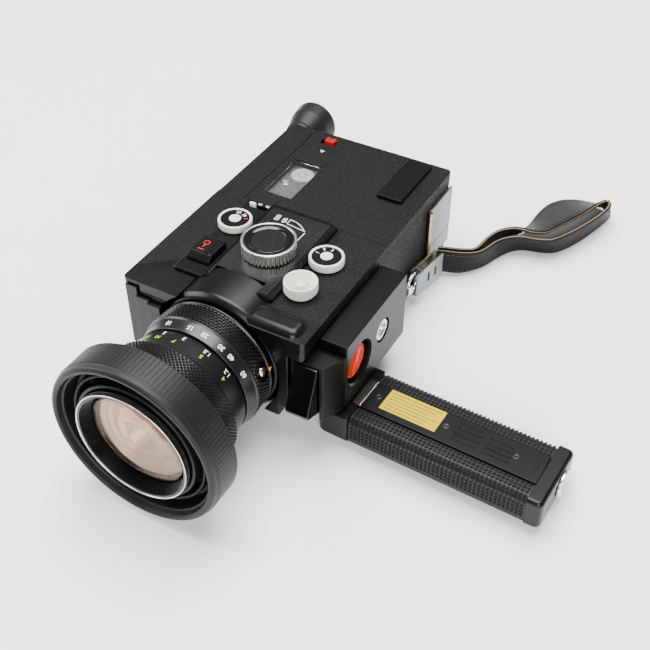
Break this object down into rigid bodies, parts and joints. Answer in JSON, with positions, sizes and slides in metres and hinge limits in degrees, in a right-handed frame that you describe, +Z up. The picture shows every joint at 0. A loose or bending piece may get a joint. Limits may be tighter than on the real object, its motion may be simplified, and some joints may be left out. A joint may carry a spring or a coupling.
{
  "type": "cine camera",
  "caption": "Hand-held film movie camera lying on its side, with a zoom lens and rubber hood, control dials, film door, folding battery grip and wrist strap.",
  "frame": {"origin": "middle of the lowest plane, on the surface that the camera lies on", "axes": "+X towards the foot of the grip, +Y from the lens towards the eyepiece, +Z up out of the surface; the camera's own left side faces up and leans about 6 degrees"},
  "size_m": [0.2414, 0.3124, 0.0937],
  "materials": {
    "leatherette": "fine pebbled grain",
    "black_paint": "satin baked enamel",
    "black_plastic": "moulded ABS",
    "rubber": "moulded rubber",
    "nickel": "satin nickel plate",
    "steel": "brushed",
    "anodised": "grained dark anodising",
    "white_plastic": "moulded",
    "brass": "stamped, worn edges",
    "glass": "coated optical glass",
    "red_plastic": "moulded",
    "orange_plastic": "moulded",
    "leather": "stitched, tan edges",
    "board": "solder mask"
  },
  "bodies": {
    "camera_body": {"base_block": "black_paint", "body_shell": "leatherette", "circuit_board": "board", "control_plate": "anodised", "control_surround": "black_plastic", "film_gate": "steel", "finder_housing": "black_paint", "front_casting": "black_paint", "grip_pivot": "steel", "lens_neck": "black_paint", "lens_tube": "black_paint", "motor": "steel", "nameplate": "anodised", "rear_plate": "steel", "relay_glass_group": "glass", "side_cover": "leatherette", "strap_lug": "nickel", "trigger_block": "black_paint", "tripod_bush": "nickel", "zoom_glass_group": "glass"},
    "film_door": {"film_door": "leatherette", "door_window": "glass", "door_grip_bar": "black_plastic", "pressure_pad": "steel"},
    "door_latch": {"door_latch": "red_plastic"},
    "zoom_ring": {"zoom_ring": "black_paint"},
    "macro_button": {"macro_button": "nickel"},
    "focus_ring": {"focus_ring": "black_paint", "front_cell": "black_paint", "front_glass": "glass", "lens_hood": "rubber"},
    "speed_dial": {"speed_dial": "nickel"},
    "mode_dial": {"mode_dial": "nickel"},
    "main_dial": {"main_dial": "nickel"},
    "release_pad": {"release_pad": "leatherette"},
    "aperture_dial": {"aperture_dial": "white_plastic"},
    "filter_lever": {"filter_lever": "nickel"},
    "power_button": {"power_button": "black_plastic"},
    "trigger": {"trigger": "black_plastic"},
    "release_button": {"release_button": "orange_plastic"},
    "battery_door": {"battery_door": "steel"},
    "strap_ring": {"strap_ring": "nickel"},
    "strap": {"strap_clasp": "brass", "wrist_strap": "leather"},
    "eyepiece": {"eyepiece_tube": "black_paint", "eyepiece_lens": "glass", "eyecup": "rubber"},
    "shutter": {"shutter": "steel", "drive_gear": "brass"},
    "takeup_spindle": {"takeup_spindle": "nickel"},
    "grip": {"grip_collar": "black_paint", "grip_latch_plate": "brass", "grip_shell": "rubber", "grip_strip": "black_plastic", "grip_end_cap": "black_paint", "battery_front_1": "steel", "battery_front_2": "steel", "battery_rear_1": "steel", "battery_rear_2": "steel"},
    "battery_cap": {"battery_cap": "steel"}
  },
  "joints": [
    {"name": "film_door_hinge", "type": "hinge", "parent": "camera_body", "child": "film_door", "pos_m": [-0.04624, 0.00605, 0.06191], "axis": [1, 0, 0], "range_deg": [0, 100]},
    {"name": "door_latch_slide", "type": "slide", "parent": "film_door", "child": "door_latch", "axis": [-1, 0, 0], "range_m": [0, 0.0025], "stiffness_N_per_m": 120},
    {"name": "zoom_turn", "type": "hinge", "parent": "camera_body", "child": "zoom_ring", "pos_m": [-0.05364, -0.09045, 0.0418], "axis": [0, -0.9946, 0.1036], "range_deg": [-60, 40]},
    {"name": "macro_button_press", "type": "slide", "parent": "zoom_ring", "child": "macro_button", "axis": [-0.9563, -0.0303, -0.2908], "range_m": [0, 0.0012], "stiffness_N_per_m": 150},
    {"name": "focus_turn", "type": "hinge", "parent": "camera_body", "child": "focus_ring", "pos_m": [-0.05364, -0.12228, 0.04511], "axis": [0, -0.9946, 0.1036], "range_deg": [-120, 130]},
    {"name": "speed_dial_turn", "type": "hinge", "parent": "camera_body", "child": "speed_dial", "pos_m": [-0.08064, -0.01672, 0.06629], "axis": [0, 0.1036, 0.9946], "range_deg": [-60, 90]},
    {"name": "mode_dial_turn", "type": "hinge", "parent": "camera_body", "child": "mode_dial", "pos_m": [-0.02324, -0.02149, 0.06679], "axis": [0, 0.1036, 0.9946], "range_deg": [-90, 60]},
    {"name": "main_dial_turn", "type": "hinge", "parent": "camera_body", "child": "main_dial", "pos_m": [-0.05124, -0.03003, 0.0717], "axis": [0, 0.1036, 0.9946], "range_deg": [-60, 75]},
    {"name": "release_pad_press", "type": "slide", "parent": "main_dial", "child": "release_pad", "axis": [0, -0.1036, -0.9946], "range_m": [0, 0.0012], "stiffness_N_per_m": 200},
    {"name": "aperture_dial_turn", "type": "hinge", "parent": "camera_body", "child": "aperture_dial", "pos_m": [-0.02324, -0.04675, 0.07042], "axis": [0, 0.1036, 0.9946], "range_deg": [-120, 120]},
    {"name": "filter_lever_slide", "type": "slide", "parent": "camera_body", "child": "filter_lever", "axis": [1, 0, 0], "range_m": [0, 0.007]},
    {"name": "power_button_press", "type": "slide", "parent": "camera_body", "child": "power_button", "axis": [0, -0.1036, -0.9946], "range_m": [0, 0.0012], "stiffness_N_per_m": 300},
    {"name": "trigger_pull", "type": "hinge", "parent": "camera_body", "child": "trigger", "pos_m": [-0.00324, -0.07756, 0.05554], "axis": [1, 0, 0], "range_deg": [0, 9], "stiffness_Nm_per_rad": 0.4},
    {"name": "release_button_press", "type": "slide", "parent": "camera_body", "child": "release_button", "axis": [-1, 0, 0], "range_m": [0, 0.002], "stiffness_N_per_m": 300},
    {"name": "battery_door_hinge", "type": "hinge", "parent": "camera_body", "child": "battery_door", "pos_m": [-0.00134, 0.05321, 0.03487], "axis": [0, 0.1036, 0.9946], "range_deg": [-105, 0]},
    {"name": "strap_ring_swing", "type": "hinge", "parent": "camera_body", "child": "strap_ring", "pos_m": [0.00106, 0.0203, 0.0192], "axis": [0, 0, 1], "range_deg": [-12, 1]},
    {"name": "strap_swing", "type": "hinge", "parent": "strap_ring", "child": "strap", "pos_m": [0.00106, 0.03224, 0.01796], "axis": [0, 0, 1], "range_deg": [-7, 1.5]},
    {"name": "diopter_turn", "type": "hinge", "parent": "camera_body", "child": "eyepiece", "pos_m": [-0.10674, 0.09814, 0.03773], "axis": [0, 0.9946, -0.1036], "range_deg": [-30, 30]},
    {"name": "shutter_spin", "type": "hinge", "parent": "camera_body", "child": "shutter", "pos_m": [-0.07224, -0.03753, 0.0383], "axis": [0, 0.9946, -0.1036], "continuous": true},
    {"name": "takeup_spin", "type": "hinge", "parent": "camera_body", "child": "takeup_spindle", "pos_m": [-0.07224, 0.03989, 0.03827], "axis": [0, 0.1036, 0.9946], "continuous": true},
    {"name": "grip_fold", "type": "hinge", "parent": "camera_body", "child": "grip", "pos_m": [0.00476, -0.05574, 0.01305], "axis": [0, 0.1036, 0.9946], "range_deg": [-80, 0]},
    {"name": "battery_cap_turn", "type": "hinge", "parent": "grip", "child": "battery_cap", "pos_m": [0.11986, -0.05549, 0.01181], "axis": [0.9992, -0.0399, 0.0042], "range_deg": [0, 60]}
  ]
}
